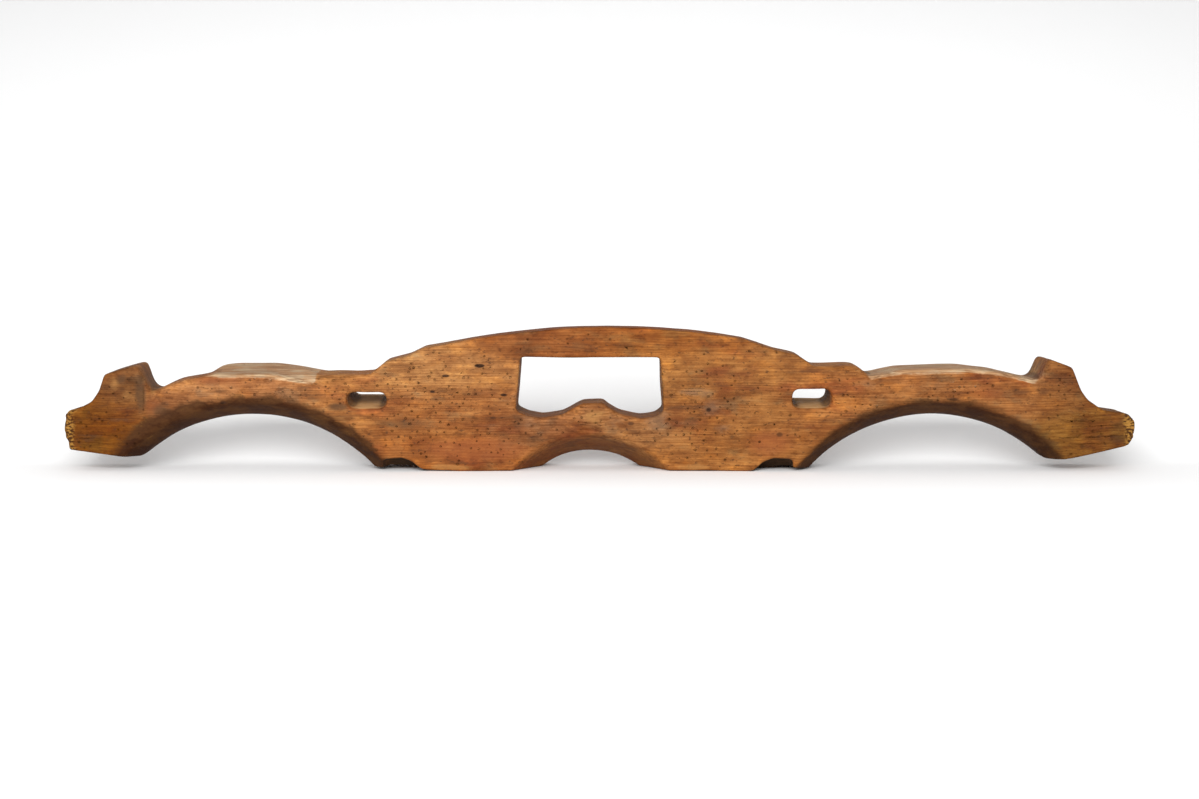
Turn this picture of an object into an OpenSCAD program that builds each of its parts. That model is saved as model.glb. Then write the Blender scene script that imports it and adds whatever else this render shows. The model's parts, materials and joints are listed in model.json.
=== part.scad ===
// Double ox yoke hewn from one timber, in millimetres.
// +X runs along the timber, +Z is up and -Y is the front face.
// The origin is on the ground under the middle of the bounding box.

/* [Timber] */
// Length over both end faces
timber_l = 1300; // [1290:5:1320]
// Depth from front to back at the neck arches
timber_d = 96; // [90:2:104]
// Height of the crown above the ground
crown_h = 174; // [172:1:180]
// Depth of the plate along its top edge
plate_top_d = 46; // [40:2:56]

/* [Neck arches] */
// Distance between the middles of the two arches
arch_gap = 830; // [824:2:836]
// Radius of the underside of the arches
arch_r = 204; // [200:1:208]
// Height of the underside at the arch's crown
arch_h = 67; // [62:1:70]
// Width of the worn bevel along the front and back of each arch
arch_bevel = 18; // [8:1:20]
// How deep that bevel reaches into the timber
arch_bevel_d = 30; // [20:2:40]

/* [Draft window] */
// Width of the window at its top edge
window_w = 170; // [156:1:180]
// Height of the window's top edge above the ground
window_top = 138; // [132:1:142]
// Height of the two rope seats in the window's lower edge
seat_h = 65; // [60:1:70]
// Height of the saddle between the rope seats
saddle_h = 82; // [76:1:88]
// Height of the scallop under the window
scallop_h = 20; // [16:1:24]
// Width of the scallop's bevel on the front face
scallop_bevel = 28; // [10:1:30]

/* [Slots and notches] */
// Width of the strap slots
slot_w = 48; // [40:1:52]
// Height of the left strap slot
left_slot_h = 19; // [17:1:26]
// Height of the right strap slot
right_slot_h = 23; // [18:1:26]
// Width of the two notches in the bottom front edge
notch_w = 50; // [40:1:54]
// Height of the notches
notch_h = 16; // [10:1:18]
// Depth of the notches along the ground
notch_d = 36; // [24:2:44]

/* [Hidden] */
$fn = 96;
timber_col = "#a4672f";
half_l = timber_l / 2;
half_d = timber_d / 2;
over = 40;                                  // how far a cutter runs past the timber
mid_x = -11;                                // middle of the window and the scallop
arches_x = -9;                              // halfway between the two arches

// The crown is one long arc about [crown_x, crown_z].
crown_r = 975;
crown_x = 12;
crown_z = crown_h - crown_r;

// Points of an arc of radius r about [cx, cz], from angle a0 to a1 in n steps.
function arc(cx, cz, r, a0, a1, n) =
    [for (i = [0:n]) let (a = a0 + (a1 - a0) * i / n) [cx + r * cos(a), cz + r * sin(a)]];

// Extrudes an outline drawn in X and Z from y0 to y1.
module along_y(y0, y1) {
    translate([0, y1, 0]) rotate([90, 0, 0]) linear_extrude(height = y1 - y0) children();
}

// Extrudes an outline drawn in Y and Z from x0 to x1.
module along_x(x0, x1) {
    translate([x0, 0, 0]) rotate([90, 0, 90]) linear_extrude(height = x1 - x0) children();
}

// Front view of the timber, before its arches, window and scallop are cut.
module front_outline() {
    polygon(concat(
        [[-half_l + 5, 25], [-half_l, 48], [-half_l + 2, 72], [-632, 76], [-616, 84], [-607, 97]],
        [[-600, 118], [-567, 128], [-545, 132], [-545, 92], [-520, 109], [-461, 119], [-400, 120]],
        [[-345, 109], [-333, 118], [-278, 118], [-260, 133], [-232, 140], [-214, 149], [-190, 153]],
        arc(crown_x, crown_z, crown_r, 100, 80.4, 10),
        [[194, 154], [214, 147], [240, 141], [260, 127], [313, 129], [326, 115], [366, 124]],
        [[440, 126], [480, 122], [515, 114], [532, 109], [541, 138], [572, 126], [584, 98]],
        [[592, 87], [610, 74], [half_l - 8, 69], [half_l, 60], [half_l, 42], [half_l - 6, 31]],
        [[half_l - 36, 24], [570, 15], [541, 12], [248, 1], [236, 4], [222, 4], [196, 0], [-170, 0]],
        [[-212, 2], [-240, 5], [-256, 5], [-264, 2], [-552, 18], [-561, 15]]
    ));
}

// Top view of the timber: deepest at the arches, slimmer at the ends and along the plate.
module plan_outline() {
    front = [[-half_l, 36], [-552, 43], [-410, half_d], [-300, 45], [0, 40], [300, 45],
             [410, half_d], [552, 43], [half_l, 36]];
    polygon(concat([for (p = front) [p.x, -p.y]], [for (i = [8:-1:0]) front[i]]));
}

// The plate leans inward from the arch tops up to its thin top edge, on both faces.
module plate_taper() {
    for (side = [-1, 1])
        along_x(-339, 331)
            polygon([[side * 46, 92], [side * plate_top_d / 2, 182], [side * 80, 182], [side * 80, 92]]);
}

// Back lip over an arch, as a wedge that rises from the front ridge to the back face.
module back_lip(outline, front_h, back_h) {
    intersection() {
        along_y(-half_d, half_d) polygon(outline);
        along_x(-half_l, half_l)
            polygon([[-38, 60], [-38, front_h], [18, back_h - 2], [half_d, back_h], [half_d, 60]]);
    }
}

// Slanted inner side of the left lashing horn, which runs away from the arch towards the top.
module horn_cut() {
    translate([-544, -half_d, 98]) rotate([0, -18, 5]) translate([0, -over, 0])
        cube([60, timber_d + 2 * over, 60]);
}

// Cutter for a neck arch: a round tunnel that flares towards both faces.
module arch_cut(x) {
    translate([x, 0, arch_h - arch_r]) rotate([90, 0, 0]) {
        cylinder(h = timber_d + over, r = arch_r, center = true);
        for (side = [0, 1])
            mirror([0, 0, side]) translate([0, 0, half_d - arch_bevel_d])
                cylinder(h = arch_bevel_d + over, r1 = arch_r,
                         r2 = arch_r + arch_bevel * (arch_bevel_d + over) / arch_bevel_d);
    }
}

// Cutter for the scallop under the window, with a deep bevel on the front face.
module scallop_cut() {
    r = 102;
    bevel_d = 60;
    translate([mid_x, 0, scallop_h - r]) rotate([90, 0, 0]) {
        cylinder(h = timber_d + over, r = r, center = true);
        translate([0, 0, half_d - bevel_d])
            cylinder(h = bevel_d + over, r1 = r, r2 = r + scallop_bevel * (bevel_d + over) / bevel_d);
    }
}

// The window, with two rope seats and a saddle between them in its lower edge.
module window_cut() {
    left = mid_x - window_w / 2;
    right = mid_x + window_w / 2;
    along_y(-half_d - over, half_d + over) polygon(concat(
        [[left, window_top], [left - 5, seat_h + 9], [left + 8, seat_h + 3]],
        [[-70, seat_h], [-45, seat_h + 4], [-25, saddle_h - 2], [-20, saddle_h], [5, saddle_h + 1]],
        [[10, saddle_h - 4], [24, seat_h + 5], [50, seat_h], [right - 6, seat_h + 2]],
        [[right + 3, seat_h + 8], [right, window_top]]
    ));
}

// A strap slot through both faces, with rounded corners, that climbs towards the back.
module slot_cut(x, z, h, climb) {
    r = 8;
    translate([x, -half_d, z]) rotate([climb, 0, 0])
        along_y(-over, timber_d + over) {
            square([slot_w - 2 * r, h], center = true);
            square([slot_w, h - 2 * r], center = true);
            for (i = [-1, 1], j = [-1, 1])
                translate([i * (slot_w / 2 - r), j * (h / 2 - r)]) circle(r);
        }
}

// A scoop in the bottom front edge: square at its outer end, running out at its inner end,
// with a roof that slopes down to the ground towards the back.
module notch_cut(x, w) {
    intersection() {
        along_y(-half_d - over, 0)
            polygon([[x, -over], [x, notch_h - 2], [x + 0.45 * w, notch_h], [x + 0.7 * w, notch_h * 0.7],
                     [x + w, -2], [x + w, -over]]);
        along_x(x - abs(w) - 1, x + abs(w) + 1)
            polygon([[-half_d - over, -over], [-half_d - over, notch_h + over], [-half_d + 2, notch_h + 6],
                     [-half_d + notch_d, 0], [-half_d + notch_d, -over]]);
    }
}

module yoke_beam() {
    left_lip = [[-530, 80], [-530, 98], [-480, 113], [-468, 125], [-440, 128], [-405, 128], [-366, 123],
                [-333, 116], [-333, 80]];
    right_lip = [[325, 80], [325, 115], [352, 121], [380, 124], [454, 123], [500, 114], [532, 104],
                 [532, 80]];
    color(timber_col) difference() {
        intersection() {
            union() {
                difference() {
                    along_y(-half_d, half_d) front_outline();
                    plate_taper();
                    horn_cut();
                }
                back_lip(left_lip, 116, 128);
                back_lip(right_lip, 122, 124);
            }
            translate([0, 0, -over]) linear_extrude(height = crown_h + 2 * over) plan_outline();
        }
        arch_cut(arches_x - arch_gap / 2);
        arch_cut(arches_x + arch_gap / 2);
        scallop_cut();
        window_cut();
        slot_cut(-282, 85.5, left_slot_h, 7);
        slot_cut(257, 88, right_slot_h, 4);
        notch_cut(-262, notch_w);
        notch_cut(234, -notch_w);
    }
}

yoke_beam();
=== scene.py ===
"""Looks of an old double ox yoke, hewn from one softwood timber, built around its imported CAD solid."""

import json
import math

import bpy
import numpy as np
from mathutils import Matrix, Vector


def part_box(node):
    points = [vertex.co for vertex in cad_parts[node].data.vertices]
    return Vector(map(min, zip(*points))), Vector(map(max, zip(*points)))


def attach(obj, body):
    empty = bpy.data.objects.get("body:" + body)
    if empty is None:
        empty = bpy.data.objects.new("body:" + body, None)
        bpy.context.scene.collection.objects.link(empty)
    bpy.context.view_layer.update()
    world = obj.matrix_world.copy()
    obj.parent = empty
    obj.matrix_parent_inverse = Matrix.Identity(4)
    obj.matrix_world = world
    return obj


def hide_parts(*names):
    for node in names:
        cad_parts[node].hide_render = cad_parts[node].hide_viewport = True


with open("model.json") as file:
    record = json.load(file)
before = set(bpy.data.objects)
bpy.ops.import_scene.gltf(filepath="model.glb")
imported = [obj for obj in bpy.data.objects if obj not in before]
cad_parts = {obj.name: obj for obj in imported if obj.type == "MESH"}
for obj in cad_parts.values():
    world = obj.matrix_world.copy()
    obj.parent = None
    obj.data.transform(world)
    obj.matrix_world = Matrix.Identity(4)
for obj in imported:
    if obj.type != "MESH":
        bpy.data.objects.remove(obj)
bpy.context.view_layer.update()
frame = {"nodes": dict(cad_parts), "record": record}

import openvdb
from mathutils import Euler, Vector
from mathutils.bvhtree import BVHTree

MM = 0.001
lo, hi = (np.array(c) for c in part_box("yoke_beam"))
mounts = {m["name"]: np.array(m["pos_m"]) for m in frame["record"]["mounts"]}

# Places on the timber, in metres, taken from the frame.
END_X = hi[0]
FRONT_Y = lo[1]
CROWN_Z = hi[2]
ARCHES = [mounts["left_neck_seat"], mounts["right_neck_seat"]]
ARCH_R = 204 * MM
BAR = mounts["draft_bar"]
SCALLOP_R = 102 * MM
SCALLOP_TOP = 20 * MM
SLOTS = [mounts["left_strap_slot"], mounts["right_strap_slot"]]

# ---------------------------------------------------------------- shape of the worn timber
PITCH = 1.6 * MM            # cell size of the distance grid
MARGIN = 22 * MM            # how far the grid reaches past the timber
TRIANGLES = 165000          # triangles of the timber before its holes are cut
SLIGHT_BLUR = 2.0 * MM      # wear of the plate and the end blocks
STRONG_BLUR = 6.5 * MM      # wear of the arches and the lower bar


class Field:
    """The timber's signed distance on a regular grid, in metres, negative inside."""

    def __init__(self, obj):
        mesh = obj.data
        mesh.calc_loop_triangles()
        points = np.empty(len(mesh.vertices) * 3, np.float32)
        mesh.vertices.foreach_get("co", points)
        tris = np.empty(len(mesh.loop_triangles) * 3, np.int32)
        mesh.loop_triangles.foreach_get("vertices", tris)
        self.transform = openvdb.createLinearTransform(voxelSize=PITCH)
        grid = openvdb.FloatGrid.createLevelSetFromPolygons(
            points.reshape(-1, 3), triangles=tris.reshape(-1, 3).astype(np.uint32),
            transform=self.transform, halfWidth=MARGIN / PITCH)
        first = np.floor((lo - MARGIN) / PITCH).astype(int)
        last = np.ceil((hi + MARGIN) / PITCH).astype(int)
        self.first = tuple(int(i) for i in first)
        self.f = np.zeros(tuple(last - first + 1), np.float32)
        grid.copyToArray(self.f, ijk=self.first)
        axes = [((first[a] + np.arange(self.f.shape[a])) * PITCH).astype(np.float32) for a in range(3)]
        self.x = axes[0][:, None, None]
        self.y = axes[1][None, :, None]
        self.z = axes[2][None, None, :]

    def blurred(self, sigma):
        """A Gaussian blur of the field, which rounds every edge and fills every inner corner."""
        reach = int(math.ceil(2.6 * sigma / PITCH))
        taps = np.exp(-0.5 * (np.arange(-reach, reach + 1) * PITCH / sigma) ** 2)
        taps = (taps / taps.sum()).astype(np.float32)
        out = self.f
        for axis in range(3):
            pad = [(reach, reach) if a == axis else (0, 0) for a in range(3)]
            padded = np.pad(out, pad, mode="edge")
            n = out.shape[axis]
            total = np.zeros_like(out)
            for k, tap in enumerate(taps):
                total += tap * np.take(padded, range(k, k + n), axis=axis)
            out = total
        return out

    def sample(self, values, points):
        """Trilinear samples of a grid of values at points in metres."""
        g = points / PITCH - np.array(self.first)
        g = np.clip(g, 0, np.array(values.shape) - 1.001)
        i = g.astype(int)
        t = g - i
        out = np.zeros(len(points))
        for corner in range(8):
            d = np.array([corner >> 2 & 1, corner >> 1 & 1, corner & 1])
            w = np.prod(np.where(d, t, 1 - t), axis=1)
            j = i + d
            out += w * values[j[:, 0], j[:, 1], j[:, 2]]
        return out

    def mesh(self):
        grid = openvdb.FloatGrid()
        grid.transform = self.transform
        grid.background = MARGIN
        grid.copyFromArray(self.f, ijk=self.first)
        return grid.convertToQuads(0.0)


def smooth(a, b, v):
    """0 below a, 1 above b, and an even S between them. a may be the larger."""
    t = np.clip((v - a) / (b - a), 0, 1)
    return t * t * (3 - 2 * t)


def lattice_noise(axes, cells, seed):
    """Smooth noise of about -1 to 1 on the grid of the three axes, with the given cell sizes."""
    r = np.random.default_rng(seed)
    weights = []
    counts = []
    for axis, cell in zip(axes, cells):
        v = axis.ravel()
        u = (v - v[0]) / cell
        n = int(u[-1]) + 4
        i = u.astype(int)
        t = u - i
        w = np.zeros((len(v), n), np.float32)
        rows = np.arange(len(v))
        w[rows, i] = (1 - t) ** 3 / 6
        w[rows, i + 1] = (3 * t ** 3 - 6 * t ** 2 + 4) / 6
        w[rows, i + 2] = (-3 * t ** 3 + 3 * t ** 2 + 3 * t + 1) / 6
        w[rows, i + 3] = t ** 3 / 6
        weights.append(w)
        counts.append(n)
    values = r.uniform(-1, 1, counts).astype(np.float32)
    values = np.tensordot(weights[2], values, axes=(1, 2)).transpose(1, 2, 0)
    values = np.tensordot(weights[1], values, axes=(1, 1)).transpose(1, 0, 2)
    values = np.tensordot(weights[0], values, axes=(1, 0))
    return values * 2.2


def near(x, z, cx, cz, rx, rz):
    """A soft patch of 1 about (cx, cz), fading over rx and rz. x and z are in metres, the rest in mm."""
    return np.exp(-((x - cx * MM) / (rx * MM)) ** 2 - ((z - cz * MM) / (rz * MM)) ** 2)


def arch_gap(x, z):
    """How far a point lies from the nearer neck arch's underside, measured from the arch's axis."""
    gaps = [np.hypot(x - a[0], z - (a[2] - ARCH_R)) - ARCH_R for a in ARCHES]
    return np.minimum(gaps[0], gaps[1])


def scallop_gap(x, z):
    return np.hypot(x - BAR[0], z - (SCALLOP_TOP - SCALLOP_R)) - SCALLOP_R


def wear_the_edges(field):
    """Rounds the timber: little at the plate and the end blocks, much along the arches and the lower bar."""
    slight = field.blurred(SLIGHT_BLUR)
    strong = field.blurred(STRONG_BLUR)
    x, z = field.x, field.z
    arch = np.maximum(*(smooth(152 * MM, 118 * MM, abs(x - a[0])) for a in ARCHES))
    bar = near(x, z, -11, 40, 84, 36)
    horns = 0.55 * near(x, z, 538, 122, 14, 22) + 0.6 * near(x, z, -542, 116, 12, 22)
    slots = sum(near(x, z, s[0] / MM, s[2] / MM - 3, 36, 20) for s in SLOTS)
    weight = np.clip((0.85 * arch + 0.9 * bar) * (1 - slots) + 0.9 * horns, 0, 1)
    field.convex = (strong - slight) / MM
    field.f = slight + (strong - slight) * weight


def sculpt(field):
    """Hollows and swellings that the plain solid leaves out."""
    x, y, z, f = field.x, field.y, field.z, field.f
    front = smooth(-15 * MM, -32 * MM, y)
    # The lower bar swells towards the front under its saddle.
    f -= 5 * MM * near(x, z, -8, 64, 24, 15) * front
    # A hollow worn into the face of the left horn, ending at an upright ridge.
    ridge = smooth(-549 * MM, -554 * MM, x)
    f += 6 * MM * near(x, z, -564, 90, 17, 22) * ridge * front
    # Two shallow chisel cuts in the valley between the left horn and its arch.
    for cx, cz, slope in ((-541, 88, -1.5), (-533, 84, -1.0)):
        along = (x - cx * MM) + (z - cz * MM) / slope
        f += 1.6 * MM * np.exp(-(along / (2.2 * MM)) ** 2) * near(x, z, cx, cz, 16, 14) * front
    # Raw, eaten ends.
    axes = (x, y, z)
    bite = lattice_noise(axes, (9 * MM, 5 * MM, 4 * MM), 3)
    bite += 0.6 * lattice_noise(axes, (5 * MM, 3 * MM, 2.4 * MM), 4)
    f += 3.2 * MM * np.clip(bite + 0.3, 0, 2) * smooth(END_X - 13 * MM, END_X - 2 * MM, abs(x))
    # Slow waves and small knocks left by the adze and by long use.
    waves = lattice_noise(axes, (60 * MM, 40 * MM, 30 * MM), 5)
    waves += 0.5 * lattice_noise(axes, (26 * MM, 18 * MM, 14 * MM), 6)
    knocks = lattice_noise(axes, (14 * MM, 9 * MM, 9 * MM), 8)
    f += 0.45 * MM * waves + 0.16 * MM * knocks + 0.35 * MM * np.clip(knocks - 0.8, 0, 1)


def adze_cuts(points, normals):
    """Long shallow flats with soft borders, deepest on the back and the tops, hardly felt on the front."""
    r = np.random.default_rng(11)
    count = 900
    seeds = lo + r.random((count, 3)) * (hi - lo)
    seeds[:, 1] = r.choice([lo[1], 0.0, hi[1]], count)
    tilt = r.normal(0, 0.03, (count, 3))
    level = r.normal(0, 0.2 * MM, count)
    stretch = np.array([0.5, 1.0, 1.0])
    border = 7 * MM
    reach = 120 * MM
    relief = np.zeros(len(points))
    for part in np.array_split(np.argsort(points[:, 0]), 80):
        p = points[part]
        close = (seeds[:, 0] > p[0, 0] - reach) & (seeds[:, 0] < p[-1, 0] + reach)
        away = p[:, None, :] - seeds[close][None]
        d = np.linalg.norm(away * stretch, axis=2)
        w = np.exp(-(d - d.min(1)[:, None]) / border)
        cut = (away * tilt[close][None]).sum(2) + level[close][None]
        relief[part] = (w * np.clip(cut, -1.5 * MM, 1.5 * MM)).sum(1) / w.sum(1)
    return relief * (0.25 + 0.75 * smooth(-0.5, 0.3, normals[:, 1]))


def vectors(mesh, what):
    """Positions ("co") or normals ("normal") of a mesh's vertices."""
    out = np.empty(len(mesh.vertices) * 3, np.float32)
    mesh.vertices.foreach_get(what, out)
    return out.reshape(-1, 3)


def link(name, mesh):
    obj = bpy.data.objects.new(name, mesh)
    bpy.context.scene.collection.objects.link(obj)
    return obj


def apply_modifiers(obj):
    graph = bpy.context.evaluated_depsgraph_get()
    result = bpy.data.meshes.new_from_object(obj.evaluated_get(graph))
    obj.modifiers.clear()
    old = obj.data
    obj.data = result
    bpy.data.meshes.remove(old)


def carve_timber():
    field = Field(frame["nodes"]["yoke_beam"])
    wear_the_edges(field)
    sculpt(field)
    points, quads = field.mesh()
    mesh = bpy.data.meshes.new("hewn_timber")
    mesh.from_pydata(points.tolist(), [], quads.tolist())
    mesh.update()
    co = vectors(mesh, "co")
    normals = vectors(mesh, "normal")
    co += normals * adze_cuts(co, normals)[:, None].astype(np.float32)
    mesh.vertices.foreach_set("co", co.ravel())
    obj = link("hewn_timber", mesh)
    thin = obj.modifiers.new("thin", "DECIMATE")
    thin.ratio = TRIANGLES / (2 * len(quads))
    apply_modifiers(obj)
    return obj, field


# ---------------------------------------------------------------- worm holes and cracks
# Swarms of worm holes on the front: middle x, z, spread in x, z (mm) and how many.
SWARMS = [
    (-205, 125, 30, 12, 18), (-175, 100, 50, 20, 64), (-215, 60, 40, 25, 48), (-150, 30, 60, 20, 48),
    (-240, 100, 20, 20, 18), (-110, 70, 20, 25, 32), (-320, 95, 12, 12, 18), (-300, 105, 25, 6, 14),
    (-400, 102, 60, 8, 34), (-470, 100, 25, 8, 6), (-600, 50, 30, 20, 32), (-575, 100, 15, 12, 10),
    (-40, 60, 40, 12, 26), (-10, 66, 15, 10, 18), (30, 60, 25, 10, 18), (110, 60, 35, 30, 64),
    (130, 120, 30, 15, 24), (75, 70, 15, 30, 24), (180, 80, 40, 30, 34), (150, 30, 50, 20, 26),
    (300, 90, 25, 15, 28), (285, 115, 15, 5, 10), (425, 98, 60, 12, 48), (555, 110, 20, 15, 26),
    (590, 50, 35, 16, 20), (-30, 155, 70, 10, 8), (190, 140, 20, 5, 4),
]
BACK_HOLES = 220
TOP_HOLES = 70
HOLE_SPACING = 4.6 * MM
HOLE_RADII = [1.2, 1.5, 1.8, 2.1]
HOLE_SHARES = [0.3, 0.35, 0.25, 0.1]

# Drying cracks on the front: x and z of the two ends, widest gap and depth (mm).
CRACKS = [
    (549, 41.0, 640, 43.5, 1.2, 7), (566, 33.0, 622, 34.0, 0.7, 4), (575, 53.5, 634, 55.5, 0.6, 4),
    (560, 62.0, 607, 61.5, 0.6, 3), (99, 97.0, 127, 97.5, 0.9, 4), (101, 100.5, 130, 100.8, 0.8, 4),
    (104, 93.5, 122, 93.5, 0.6, 3), (30, 151.0, 52, 150.5, 0.7, 3), (-33, 55.0, -12, 58.5, 0.8, 3),
    (-640, 40.0, -612, 41.0, 0.7, 4), (-642, 58.0, -618, 57.0, 0.7, 4), (-160, 74.5, -138, 74.0, 0.5, 2),
]


def hole_places(tree, r):
    """Point and outward normal of each hole: in swarms on the front, scattered on the back and the tops."""
    found = []

    def cast(origin, direction):
        hit, normal, _, _ = tree.ray_cast(Vector(origin), Vector(direction))
        if hit is None or normal.dot(Vector(direction)) > -0.45:
            return
        if all((hit - p).length > HOLE_SPACING for p, _ in found):
            found.append((hit, normal))

    for cx, cz, sx, sz, count in SWARMS:
        for _ in range(count):
            x, z = r.normal(cx, sx) * MM, r.normal(cz, sz) * MM
            cast((x, -0.2, z), (0, 1, 0))
    centres = [(r.uniform(lo[0], hi[0]), r.uniform(20 * MM, 150 * MM)) for _ in range(24)]
    for i in range(BACK_HOLES):
        cx, cz = centres[i % len(centres)]
        cast((r.normal(cx, 45 * MM), 0.2, r.normal(cz, 22 * MM)), (0, -1, 0))
    for _ in range(TOP_HOLES):
        cast((r.uniform(lo[0], hi[0]), r.uniform(-40 * MM, 40 * MM), 0.3), (0, 0, -1))
    return found


def bore(verts, faces, point, normal, r):
    """Adds one tapered, slightly crooked pit to the cutter's vertices and faces."""
    sides = 8
    radius = r.choice(HOLE_RADII, p=HOLE_SHARES) * MM
    depth = r.uniform(5, 9) * MM
    axis = (Vector(r.normal(0, 0.18, 3)) - normal).normalized()
    side = axis.orthogonal().normalized()
    up = axis.cross(side)
    longer = r.choice([0, 0, 0, 0.35])
    turn = r.uniform(0, math.tau)
    base = len(verts)
    for at, scale in ((-2.5 * MM, 1.0), (depth, 0.7)):
        for k in range(sides):
            a = turn + math.tau * k / sides
            arm = (side * math.cos(a) + up * math.sin(a)) * radius * scale
            arm.x *= 1 + longer
            verts.append(point + axis * at + arm)
    faces.append([base + k for k in range(sides)])
    faces.append([base + sides + k for k in reversed(range(sides))])
    for k in range(sides):
        j = (k + 1) % sides
        faces.append([base + k, base + sides + k, base + sides + j, base + j])


def crack(verts, faces, tree, r, x0, z0, x1, z1, gap, depth):
    """Adds one wandering V-shaped crack to the cutter."""
    steps = max(6, int((x1 - x0) / 3))
    wander = np.cumsum(r.normal(0, 0.22, steps + 1))
    wander -= np.linspace(wander[0], wander[-1], steps + 1)
    base = len(verts)
    for i in range(steps + 1):
        t = i / steps
        x, z = (x0 + (x1 - x0) * t) * MM, (z0 + (z1 - z0) * t + wander[i]) * MM
        hit = tree.ray_cast(Vector((x, -0.2, z)), Vector((0, 1, 0)))[0]
        swell = 1 - (2 * t - 1) ** 2
        half = (0.16 + gap * swell * r.uniform(0.6, 1.1)) * MM
        verts.append(Vector((x, hit.y - 2 * MM, z + half)))
        verts.append(Vector((x, hit.y - 2 * MM, z - half)))
        verts.append(Vector((x, hit.y + (0.6 + depth * swell) * MM, z)))
    faces.append([base, base + 1, base + 2])
    for a in range(base, base + 3 * steps, 3):
        for i in range(3):
            j = (i + 1) % 3
            faces.append([a + i, a + 3 + i, a + 3 + j, a + j])
    end = base + 3 * steps
    faces.append([end, end + 2, end + 1])


def cut_holes(obj):
    """Cuts the worm holes and cracks, whose walls get the second material."""
    obj.data.calc_loop_triangles()
    tris = [tuple(t.vertices) for t in obj.data.loop_triangles]
    tree = BVHTree.FromPolygons(vectors(obj.data, "co").tolist(), tris)
    r = np.random.default_rng(21)
    verts, faces = [], []
    for point, normal in hole_places(tree, r):
        bore(verts, faces, point, normal, r)
    for row in CRACKS:
        crack(verts, faces, tree, r, *row)
    mesh = bpy.data.meshes.new("hole_cutter")
    mesh.from_pydata(verts, [], faces)
    for poly in mesh.polygons:
        poly.material_index = 1
    mesh.materials.append(wood)
    mesh.materials.append(bored)
    cutter = link("hole_cutter", mesh)
    cut = obj.modifiers.new("cut", "BOOLEAN")
    cut.operation = "DIFFERENCE"
    cut.solver = "MANIFOLD"
    cut.object = cutter
    apply_modifiers(obj)
    bpy.data.objects.remove(cutter)


def sharpen_rims(mesh):
    """Keeps the shading of the timber and of the hole walls apart."""
    edge_of = np.empty(len(mesh.loops), np.int32)
    mesh.loops.foreach_get("edge_index", edge_of)
    material = np.empty(len(mesh.polygons), np.int32)
    mesh.polygons.foreach_get("material_index", material)
    size = np.empty(len(mesh.polygons), np.int32)
    mesh.polygons.foreach_get("loop_total", size)
    loop_material = np.repeat(material, size)
    most = np.zeros(len(mesh.edges), np.int32)
    least = np.ones(len(mesh.edges), np.int32)
    np.maximum.at(most, edge_of, loop_material)
    np.minimum.at(least, edge_of, loop_material)
    sharp = mesh.attributes.get("sharp_edge") or mesh.attributes.new("sharp_edge", "BOOLEAN", "EDGE")
    sharp.data.foreach_set("value", most != least)


# ---------------------------------------------------------------- where the wood changes
# Colours of areas of the wood, a few of them painted light and shade, linear: middle x, z, reach in x, z
# (mm), red, green, blue.
TONES = [
    (-200, 122, 80, 26, 0.46, 0.208, 0.082), (-200, 80, 80, 24, 0.37, 0.138, 0.046),
    (-165, 25, 80, 26, 0.385, 0.140, 0.043), (-70, 155, 80, 20, 0.285, 0.092, 0.029),
    (70, 155, 80, 20, 0.35, 0.117, 0.028), (160, 125, 80, 26, 0.41, 0.175, 0.057),
    (150, 78, 80, 24, 0.35, 0.138, 0.044), (165, 25, 80, 26, 0.365, 0.140, 0.042),
    (-70, 52, 45, 20, 0.30, 0.118, 0.049), (50, 52, 45, 20, 0.36, 0.155, 0.062),
    (-424, 95, 100, 34, 0.44, 0.185, 0.078), (406, 95, 100, 34, 0.38, 0.148, 0.052),
    (-305, 90, 40, 30, 0.55, 0.240, 0.078), (285, 90, 40, 30, 0.47, 0.190, 0.060),
    (-605, 50, 45, 34, 0.205, 0.066, 0.008), (-575, 100, 25, 22, 0.21, 0.085, 0.030),
    (605, 45, 50, 30, 0.256, 0.108, 0.024), (560, 105, 28, 24, 0.265, 0.102, 0.034),
    # Painted light and shade: the first area below darkens the valley between the left horn and its arch
    # (painted shade). The next two lighten the inner faces of both horns (painted light).
    (-519, 86, 20, 12, 0.25, 0.088, 0.034), (-537, 120, 6, 13, 0.60, 0.34, 0.20),
    (530, 122, 7, 12, 0.52, 0.28, 0.13),
]

# Stains on the front, a few of them painted shade and painted light: strength, middle x, z and reach in x, z
# (mm).
STAINS = {
    "reddish": [(1.0, -150, 27, 75, 17), (0.7, -470, 112, 34, 9), (0.8, 205, 35, 35, 22),
                # (0.6, -540, 80) is painted shade, reddish, in the valley between the left horn and its arch.
                (0.6, -540, 80, 16, 16), (0.6, 470, 96, 34, 12)],
    "pale": [(1.0, -178, 5, 36, 4), (1.0, 117, 5, 28, 5), (0.7, -8, 66, 15, 12), (0.7, -588, 106, 9, 12),
             # (0.8, -540, 104) is a painted highlight on the inner face of the left horn.
             (0.8, -540, 104, 6, 16), (0.6, -572, 92, 9, 8)],
    # (0.9, -556, 98) darkens the strip beside the left horn's upright ridge. (0.8, -530, 74) in this list is
    # painted shade in the valley between the left horn and its arch.
    "soil_and_shade": [(1.0, -316, 79, 15, 6), (0.7, -232, 58, 34, 9), (0.9, -556, 98, 8, 26), (0.7, -578, 112, 8, 8),
             (0.8, -530, 74, 14, 9), (0.5, -30, 152, 26, 9), (0.6, -100, 62, 9, 16), (0.5, 72, 62, 8, 14)],
    "dust": [(1.0, 72, 62, 18, 13), (0.9, 133, 75, 11, 9), (0.8, 114, 97, 20, 5), (0.7, 146, 52, 9, 9),
             (0.6, 152, 84, 26, 9), (0.6, -88, 66, 13, 15), (0.5, -132, 56, 14, 10), (0.6, 20, 60, 12, 10),
             (0.5, 330, 106, 18, 10)],
}


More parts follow.
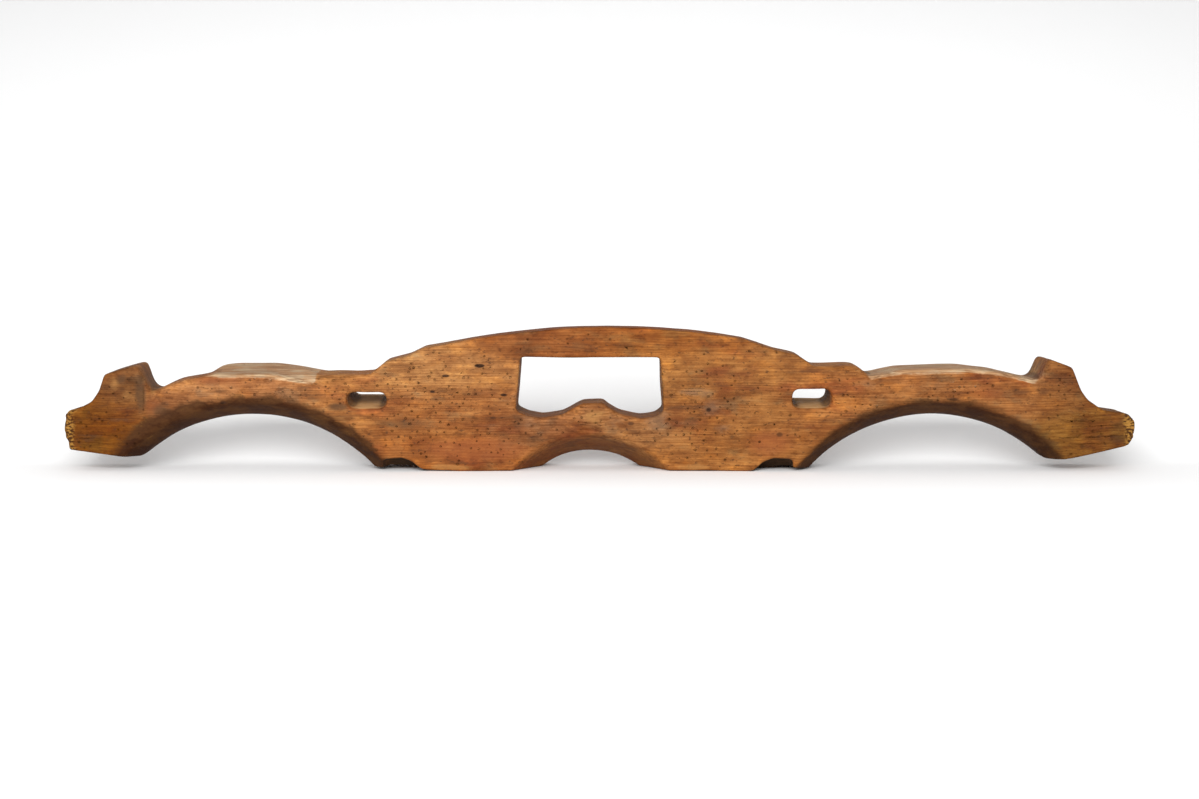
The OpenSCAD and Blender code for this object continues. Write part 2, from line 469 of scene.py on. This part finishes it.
def tone(x, z):
    """Colour of the wood at each point: the mean of the areas, weighted by how near they are."""
    total = np.full(len(x), 1e-4)
    colour = total[:, None] * np.array([0.36, 0.14, 0.047])
    for cx, cz, rx, rz, *rgb in TONES:
        w = near(x, z, cx, cz, rx, rz)
        total += w
        colour += w[:, None] * np.array(rgb)
    return colour / total[:, None]


def paint_masks(mesh, field):
    """Stores, per vertex, how worn, greasy, weathered, stained or raw the wood is there, where it gets
    painted shade and painted light, and its tone.
    """
    co = vectors(mesh, "co").astype(float)
    normals = vectors(mesh, "normal")
    x, y, z = co.T
    nz = normals[:, 2]
    front = smooth(0.1, -0.5, normals[:, 1])
    masks = {}
    # Necks have darkened the arches: about 17 mm up the front face, less towards the ground.
    reach = (17 + 5 * smooth(15 * MM, 55 * MM, z) + 5 * smooth(-450 * MM, -510 * MM, x)
             + 4 * smooth(0, -100 * MM, x)) * MM
    masks["grease"] = 0.5 + (reach - arch_gap(x, z)) / (26 * MM)
    # Darker under the scallop of the lower bar: painted shade of the bevel that faces down, with mild grease.
    masks["under_bar_grease_and_shade"] = smooth(32 * MM, 4 * MM, scallop_gap(x, z)) * smooth(52 * MM, 36 * MM, z)
    low = smooth(138 * MM, 128 * MM, z)
    arch = np.maximum(*(smooth(150 * MM, 120 * MM, abs(x - a[0])) for a in ARCHES))
    lips = smooth(-485 * MM, -450 * MM, x) * smooth(-342 * MM, -347 * MM, x)
    lips += smooth(322 * MM, 330 * MM, x) * smooth(536 * MM, 520 * MM, x)
    under_lips = 0.3 * near(x, z, -400, 112, 52, 7) + 0.25 * near(x, z, 400, 117, 60, 5)
    masks["weathered"] = smooth(0.15, 0.9, nz) * (0.25 + 0.75 * low * arch * lips) + under_lips * front
    # The inner faces of the strap slots get painted light, a bright orange.
    tunnel = smooth(-45 * MM, -40 * MM, y) * smooth(0.85, 0.4, abs(normals[:, 1]))
    masks["slot"] = tunnel * np.clip(sum(near(x, z, s[0] / MM, 87, 26, 16) for s in SLOTS), 0, 1)
    # The insides of the two notches at the foot of the front face get painted shade, near black, over some
    # dirt.
    notches = (abs(x + 237 * MM) < 26 * MM) | (abs(x - 209 * MM) < 26 * MM)
    masks["notch"] = (smooth(-42.5 * MM, -40.5 * MM, y) * smooth(-6 * MM, -13 * MM, y)
                      * smooth(18 * MM, 15 * MM, z) * notches)
    masks["raw"] = smooth(END_X - 20 * MM, END_X - 5 * MM, abs(x))
    for name, stains in STAINS.items():
        masks[name] = np.clip(sum(amount * near(x, z, *place) for amount, *place in stains), 0, 1) * front
    curve = field.sample(field.convex, co)
    masks["edge"] = np.clip((curve - 0.35) / 1.6, 0, 1)
    masks["hollow"] = np.clip((-curve - 0.35) / 1.6, 0, 1)
    for name, values in masks.items():
        layer = mesh.attributes.new(name, "FLOAT", "POINT")
        layer.data.foreach_set("value", values.astype(np.float32))
    colours = np.ones((len(x), 4), np.float32)
    colours[:, :3] = tone(x, z)
    layer = mesh.attributes.new("tone", "FLOAT_COLOR", "POINT")
    layer.data.foreach_set("color", colours.ravel())


# ---------------------------------------------------------------- materials
class Graph:
    """Helpers that add nodes to one new material."""

    def __init__(self, name):
        self.mat = bpy.data.materials.new(name)
        self.mat.use_nodes = True
        self.nodes = self.mat.node_tree.nodes
        self.shader = self.nodes["Principled BSDF"]

    def plug(self, socket, value):
        if isinstance(value, bpy.types.NodeSocket):
            self.mat.node_tree.links.new(value, socket)
        else:
            socket.default_value = value

    def math(self, operation, *values):
        node = self.nodes.new("ShaderNodeMath")
        node.operation = operation
        for socket, value in zip(node.inputs, values):
            self.plug(socket, value)
        return node.outputs[0]

    def vector(self, operation, *values):
        node = self.nodes.new("ShaderNodeVectorMath")
        node.operation = operation
        for socket, value in zip(node.inputs, values):
            self.plug(socket, value)
        return node.outputs["Value" if operation == "LENGTH" else "Vector"]

    def ramp(self, value, a, b, low=0.0, high=1.0):
        node = self.nodes.new("ShaderNodeMapRange")
        node.interpolation_type = "SMOOTHSTEP"
        for socket, v in zip(node.inputs, (value, a, b, low, high)):
            self.plug(socket, v)
        return node.outputs[0]

    def noise(self, vector, scale=1.0, detail=2.0, roughness=0.5):
        node = self.nodes.new("ShaderNodeTexNoise")
        settings = {"Vector": vector, "Scale": scale, "Detail": detail, "Roughness": roughness}
        for name, value in settings.items():
            self.plug(node.inputs[name], value)
        return node.outputs[0]

    def streaky(self, place, along, across, detail=2.0, roughness=0.5):
        """Noise drawn out along the grain, with that many cells per metre along it and across it."""
        stretched = self.vector("MULTIPLY", place, (along, across, across))
        return self.noise(stretched, detail=detail, roughness=roughness)

    def mix(self, factor, a, b, mode="MIX"):
        node = self.nodes.new("ShaderNodeMix")
        node.data_type = "RGBA"
        node.blend_type = mode
        self.plug(node.inputs[0], factor)
        self.plug(node.inputs[6], a if isinstance(a, bpy.types.NodeSocket) else (*a, 1))
        self.plug(node.inputs[7], b if isinstance(b, bpy.types.NodeSocket) else (*b, 1))
        return node.outputs[2]

    def times(self, colour, factor):
        return self.mix(1.0, colour, factor, "MULTIPLY")

    def attribute(self, name, output="Fac"):
        node = self.nodes.new("ShaderNodeAttribute")
        node.attribute_name = name
        return node.outputs[output]


TINT = (0.605, 0.59, 0.515)         # of the whole timber: every colour of the wood is multiplied by it
PITH = (0.0, 42 * MM, -70 * MM)     # a point on the pith line, which runs along X
RING_PITCH = 2.5 * MM

# Knots on the front: x, z, half width and half height (mm), darkness.
KNOTS = [
    (-145, 128, 6, 2.3, 1.0), (-186, 116, 4.5, 1.7, 0.8), (-202, 97, 4.5, 2.4, 0.9),
    (-116, 93, 5.5, 2.4, 0.9), (-129, 65, 6, 3, 0.6), (132, 75, 5, 4, 0.8), (218, 45, 5, 4, 0.6),
    (160, 42, 5, 6, 0.5), (38, 58, 5, 3, 0.6), (-455, 84, 6, 3, 0.7), (428, 88, 9, 3, 0.7),
    (585, 30, 5, 5, 0.5), (-12, 146, 12, 4, 0.5),
]


def grain(g, place):
    """Late wood of the growth rings, which bend round the knots, then the knots and the fibres."""
    slow = g.streaky(place, 3.0, 7.0, detail=1.0)
    quick = g.streaky(place, 11.0, 38.0)
    knot = bend = 0.0
    for x, z, rx, rz, dark in KNOTS:
        away = g.vector("SUBTRACT", place, (x * MM, 0, z * MM))
        flat = g.vector("MULTIPLY", away, (1 / (rx * MM), 0.0, 1 / (rz * MM)))
        d = g.math("ADD", g.vector("LENGTH", flat), g.math("MULTIPLY", g.math("SUBTRACT", quick, 0.5), 1.6))
        knot = g.math("MAXIMUM", knot, g.ramp(d, 1.25, 0.3, 0.0, dark))
        bend = g.math("MAXIMUM", bend, g.ramp(d, 3.0, 0.3))
    parts = g.nodes.new("ShaderNodeSeparateXYZ")
    g.plug(parts.inputs[0], place)
    knot = g.math("MULTIPLY", knot, g.ramp(parts.outputs[1], 0.0, -20 * MM))
    from_pith = g.vector("MULTIPLY", g.vector("SUBTRACT", place, PITH), (0.0, 1.0, 1.0))
    radius = g.vector("LENGTH", from_pith)
    for wave, height in ((slow, 26), (quick, 5), (bend, 3)):
        radius = g.math("ADD", radius, g.math("MULTIPLY", wave, height * MM))
    phase = g.math("FRACT", g.math("MULTIPLY", radius, 1 / RING_PITCH))
    late = g.math("MULTIPLY", g.ramp(phase, 0.35, 0.86), g.ramp(phase, 1.0, 0.9))
    fibres = g.streaky(place, 16.0, 480.0, detail=3.0, roughness=0.6)
    return late, knot, fibres


def wood_material():
    """Aged softwood: its tone, rings, fibres and dirt, then the worn, stained and weathered places, with
    painted shade and painted light in a few of them.
    """
    g = Graph("timber_wood")
    place = g.nodes.new("ShaderNodeTexCoord").outputs["Object"]
    late, knot, fibres = grain(g, place)
    hair = g.streaky(place, 50.0, 1500.0, detail=1.0)
    blotch = g.streaky(place, 9.0, 24.0, detail=3.0, roughness=0.6)
    patch = g.streaky(place, 32.0, 60.0, detail=4.0, roughness=0.65)
    speck = g.streaky(place, 170.0, 330.0, detail=3.0, roughness=0.7)
    streak = g.streaky(place, 7.0, 120.0, detail=3.0, roughness=0.6)
    haze = g.streaky(g.vector("ADD", place, (3.1, 0.7, 1.9)), 20.0, 38.0, detail=4.0, roughness=0.6)
    crumb = g.streaky(place, 90.0, 160.0, detail=3.0, roughness=0.65)
    uneven = g.math("SUBTRACT", patch, 0.5)

    def masked(name, low, high, amount, ragged=0.5):
        """A mask with a ragged border: none of it below low, the whole amount above high."""
        shifted = g.math("ADD", g.attribute(name), g.math("MULTIPLY", uneven, ragged))
        return g.ramp(shifted, low, high, 0.0, amount)

    # Dull and warm areas, then darker summer wood, then fibres.
    colour = g.attribute("tone", "Color")
    colour = g.mix(g.ramp(blotch, 0.36, 0.64), g.times(colour, (0.86, 0.80, 0.80)),
                   g.times(colour, (1.12, 1.18, 1.2)))
    strength = g.ramp(streak, 0.3, 0.7, 0.04, 0.5)
    colour = g.mix(g.math("MULTIPLY", late, strength), colour, g.times(colour, (0.62, 0.50, 0.42)))
    colour = g.times(colour, g.mix(g.ramp(fibres, 0.3, 0.7), (0.78, 0.72, 0.66), (1.20, 1.24, 1.26)))
    colour = g.times(colour, g.mix(g.ramp(patch, 0.32, 0.68), (0.76, 0.69, 0.62), (1.20, 1.26, 1.26)))
    colour = g.mix(g.math("MULTIPLY", hair, 0.35), colour, g.times(colour, (0.7, 0.62, 0.55)))
    # Warmer clean wood, greyer hazy wood, dull dirt in streaks, dark and light crumbs, and fine dark specks.
    colour = g.mix(g.ramp(haze, 0.53, 0.66), colour, g.times(colour, (1.24, 1.20, 1.02)))
    colour = g.mix(g.ramp(haze, 0.47, 0.33), colour, g.times(colour, (0.80, 0.94, 1.18)))
    dirt = g.math("MULTIPLY", g.ramp(streak, 0.50, 0.70), g.ramp(patch, 0.56, 0.40))
    colour = g.mix(g.math("MULTIPLY", dirt, 0.5), colour, (0.13, 0.062, 0.032))
    colour = g.mix(g.ramp(crumb, 0.54, 0.68, 0.0, 0.55), colour, g.times(colour, (0.50, 0.44, 0.40)))
    colour = g.mix(g.ramp(crumb, 0.46, 0.32, 0.0, 0.55), colour, g.times(colour, (1.35, 1.36, 1.25)))
    colour = g.mix(g.ramp(speck, 0.58, 0.70, 0.0, 0.75), colour, (0.085, 0.038, 0.02))
    colour = g.mix(g.ramp(blotch, 0.44, 0.32), colour, g.times(colour, (0.95, 0.82, 0.90)))
    # Stains (a few of them painted shade and painted light), painted shade with mild grease under the lower
    # bar, weathering, the openings (painted light in the slots, painted shade in the notches), worn edges and
    # hollows, grease, raw ends, and the knots on top.
    colour = g.mix(masked("dust", 0.2, 1.0, 0.45, 2.0), colour, (0.27, 0.175, 0.125))
    # The reddish marks include painted shade in the valley by the left horn.
    colour = g.mix(masked("reddish", 0.25, 0.8, 0.6), colour, (0.34, 0.095, 0.035))
    # The pale marks include a painted highlight on the inner face of the left horn.
    colour = g.mix(masked("pale", 0.3, 0.85, 0.5, 1.2), colour, (0.50, 0.25, 0.09))
    # Dark soil, plus painted shade in the valley between the left horn and its arch.
    colour = g.mix(masked("soil_and_shade", 0.2, 0.8, 0.75, 1.0), colour, (0.11, 0.058, 0.033))
    # Painted shade under the lower bar, with mild grease.
    colour = g.mix(masked("under_bar_grease_and_shade", 0.2, 0.9, 0.4), colour, (0.15, 0.06, 0.028))
    silver = g.mix(g.ramp(fibres, 0.35, 0.65), (0.36, 0.24, 0.16), (0.80, 0.60, 0.43))
    silver = g.mix(g.ramp(patch, 0.42, 0.62), g.times(silver, (0.9, 0.70, 0.56)), silver)
    colour = g.mix(masked("weathered", 0.3, 0.75, 0.9, 0.9), colour, silver)
    # Painted light on the inner faces of the strap slots.
    colour = g.mix(masked("slot", 0.3, 0.7, 0.9), colour, (0.92, 0.55, 0.27))
    # Painted shade inside the notches, over some dirt.
    colour = g.mix(masked("notch", 0.3, 0.7, 0.95), colour, (0.035, 0.018, 0.009))
    colour = g.mix(masked("edge", 0.3, 0.9, 0.30), colour, g.times(colour, (1.35, 1.35, 1.3)))
    colour = g.mix(masked("hollow", 0.15, 0.8, 0.6), colour, (0.10, 0.05, 0.027))
    grease = masked("grease", 0.36, 0.74, 0.94, 1.1)
    greasy = g.mix(g.ramp(patch, 0.4, 0.62), (0.040, 0.012, 0.004), (0.085, 0.034, 0.013))
    colour = g.mix(grease, colour, greasy)
    rotten = g.mix(g.ramp(speck, 0.44, 0.54), (0.52, 0.26, 0.06), (0.07, 0.028, 0.010))
    colour = g.mix(masked("raw", 0.25, 1.0, 0.9, 2.2), colour, rotten)
    knotty = g.ramp(knot, 0.15, 0.9, 0.0, 0.95)
    colour = g.mix(knotty, colour, g.mix(g.ramp(crumb, 0.4, 0.6), (0.016, 0.006, 0.003), (0.07, 0.032, 0.02)))
    g.plug(g.shader.inputs["Base Color"], g.times(colour, TINT))

    rough = g.math("SUBTRACT", g.ramp(patch, 0.3, 0.7, 0.62, 0.80), g.math("MULTIPLY", grease, 0.08))
    g.plug(g.shader.inputs["Roughness"], rough)
    g.shader.inputs["Specular IOR Level"].default_value = 0.06
    height = g.math("ADD", g.math("MULTIPLY", fibres, 0.5), g.math("MULTIPLY", late, -0.22))
    bump = g.nodes.new("ShaderNodeBump")
    g.plug(bump.inputs["Height"], g.math("ADD", height, g.math("MULTIPLY", speck, 0.35)))
    bump.inputs["Strength"].default_value = 0.6
    bump.inputs["Distance"].default_value = 0.6 * MM
    g.plug(g.shader.inputs["Normal"], bump.outputs[0])
    return g.mat


def bored_material():
    """Walls of the worm holes and cracks, near black: painted shade of the deep pits, with some dust."""
    g = Graph("timber_bore")
    dust = g.noise(g.nodes.new("ShaderNodeTexCoord").outputs["Object"], scale=900.0)
    # Near black: painted shade inside the pits.
    colour = g.mix(g.ramp(dust, 0.4, 0.7), (0.005, 0.002, 0.001), (0.022, 0.009, 0.004))
    g.plug(g.shader.inputs["Base Color"], colour)
    g.shader.inputs["Roughness"].default_value = 0.95
    g.shader.inputs["Specular IOR Level"].default_value = 0.0
    return g.mat


def plain_material(name, colour, rough):
    g = Graph(name)
    g.shader.inputs["Base Color"].default_value = (*colour, 1)
    g.shader.inputs["Roughness"].default_value = rough
    return g.mat


wood = wood_material()
bored = bored_material()
timber, field = carve_timber()
timber.data.materials.append(wood)
timber.data.materials.append(bored)
cut_holes(timber)
timber.data.shade_smooth()
sharpen_rims(timber.data)
paint_masks(timber.data, field)
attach(timber, "root")
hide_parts("yoke_beam")


# ---------------------------------------------------------------- stage, light and camera
def build_stage():
    """A white floor that slopes up from just behind the timber and bends up into a wall."""
    half_w = 9.0
    profile = [(-7.0, 0.0), (0.02, 0.0), (0.05, 0.0), (0.07, 0.003), (0.09, 0.008), (0.11, 0.014),
               (0.4, 0.101), (2.9, 0.85), (3.3, 1.05), (3.7, 1.5), (3.9, 2.2), (3.95, 3.0), (3.95, 9.0)]
    verts = [(side * half_w, y, z) for y, z in profile for side in (-1, 1)]
    faces = [(2 * i, 2 * i + 1, 2 * i + 3, 2 * i + 2) for i in range(len(profile) - 1)]
    sweep = bpy.data.meshes.new("studio_sweep")
    sweep.from_pydata(verts, [], faces)
    sweep.shade_smooth()
    sweep.materials.append(plain_material("studio_paper", (0.95, 0.95, 0.95), 0.9))
    link("studio_sweep", sweep)


def area_light(name, place, aim, size, power):
    data = bpy.data.lights.new(name, "AREA")
    data.shape = "RECTANGLE"
    data.size, data.size_y = size
    data.energy = power
    obj = bpy.data.objects.new(name, data)
    obj.location = place
    obj.rotation_euler = (Vector(aim) - Vector(place)).to_track_quat("-Z", "Y").to_euler()
    bpy.context.scene.collection.objects.link(obj)


def build_camera():
    """The camera looks along +Y from a little above, at the height of the timber's middle."""
    elevation = math.radians(5)
    distance = 2.6
    view_width = 1.454
    sensor = 36.0
    aim = Vector((0, FRONT_Y + 12 * MM, CROWN_Z / 2))
    data = bpy.data.cameras.new("camera")
    data.sensor_width = sensor
    data.lens = sensor * distance / view_width
    obj = bpy.data.objects.new("camera", data)
    obj.location = aim + distance * Vector((0, -math.cos(elevation), math.sin(elevation)))
    obj.rotation_euler = Euler((math.pi / 2 - elevation, 0, 0))
    bpy.context.scene.collection.objects.link(obj)
    bpy.context.scene.camera = obj


build_stage()
area_light("key", (-0.3, -2.8, 1.2), (0, 0, 0.08), (2.4, 1.3), 118)
area_light("backdrop", (0, 0.6, 2.4), (0, 3.7, 2.0), (3.0, 0.6), 25)
build_camera()
world = bpy.data.worlds.new("studio")
world.use_nodes = True
world.node_tree.nodes["Background"].inputs["Color"].default_value = (1, 1, 1, 1)
world.node_tree.nodes["Background"].inputs["Strength"].default_value = 0.6
bpy.context.scene.world = world
bpy.context.scene.view_settings.view_transform = "Standard"
